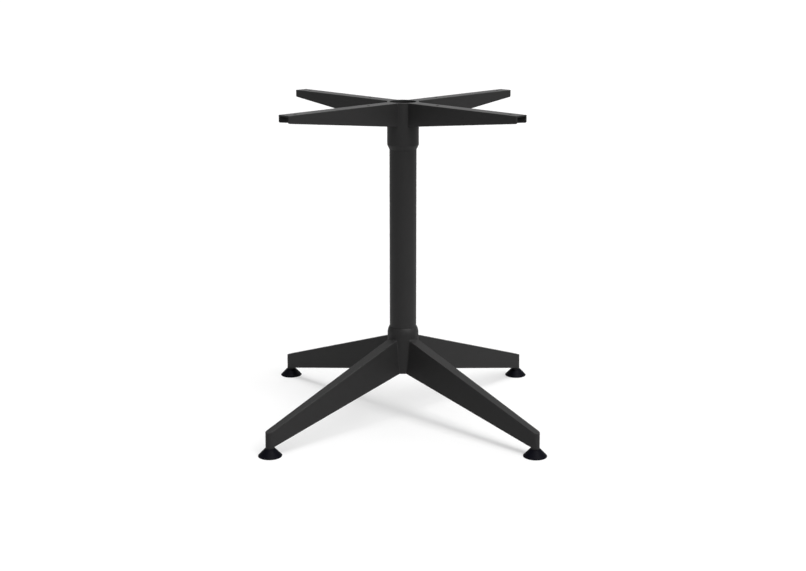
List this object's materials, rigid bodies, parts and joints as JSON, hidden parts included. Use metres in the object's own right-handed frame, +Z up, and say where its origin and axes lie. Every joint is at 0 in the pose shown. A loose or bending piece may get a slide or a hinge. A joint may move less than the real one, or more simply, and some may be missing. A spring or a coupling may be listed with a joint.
{
  "type": "four star table base",
  "caption": "Pedestal table base with a round column, a star of sloping hollow legs on screw levelling feet, and a flat spider of open arms with screw holes for the table top.",
  "frame": {"origin": "on the floor, on the column's axis", "axes": "+Z up along the column; the legs and the arms lie along +X, +Y, -X and -Y"},
  "size_m": [0.8398, 0.8398, 0.715],
  "materials": {
    "spider_coat": "satin black powder coat",
    "tube_coat": "satin black powder coat",
    "star_coat": "satin black powder coat",
    "foot_plastic": "moulded black, slightly blue",
    "zinc_steel": "zinc plated"
  },
  "bodies": {
    "frame": {"top_spider": "spider_coat", "column_tube": "tube_coat", "base_star": "star_coat", "tie_rod": "zinc_steel", "top_washer": "zinc_steel", "top_spring_washer": "zinc_steel", "top_nut": "zinc_steel", "base_washer": "zinc_steel", "base_spring_washer": "zinc_steel", "base_nut": "zinc_steel", "leg_insert_1": "zinc_steel", "leg_insert_2": "zinc_steel", "leg_insert_3": "zinc_steel", "leg_insert_4": "zinc_steel"},
    "foot_1": {"foot_pad_1": "foot_plastic", "foot_stud_1": "zinc_steel"},
    "foot_2": {"foot_pad_2": "foot_plastic", "foot_stud_2": "zinc_steel"},
    "foot_3": {"foot_pad_3": "foot_plastic", "foot_stud_3": "zinc_steel"},
    "foot_4": {"foot_pad_4": "foot_plastic", "foot_stud_4": "zinc_steel"}
  },
  "joints": [
    {"name": "foot_1_level", "type": "slide", "parent": "frame", "child": "foot_1", "axis": [0, 0, 1], "range_m": [-0.015, 0]},
    {"name": "foot_2_level", "type": "slide", "parent": "frame", "child": "foot_2", "axis": [0, 0, 1], "range_m": [-0.015, 0]},
    {"name": "foot_3_level", "type": "slide", "parent": "frame", "child": "foot_3", "axis": [0, 0, 1], "range_m": [-0.015, 0]},
    {"name": "foot_4_level", "type": "slide", "parent": "frame", "child": "foot_4", "axis": [0, 0, 1], "range_m": [-0.015, 0]}
  ]
}
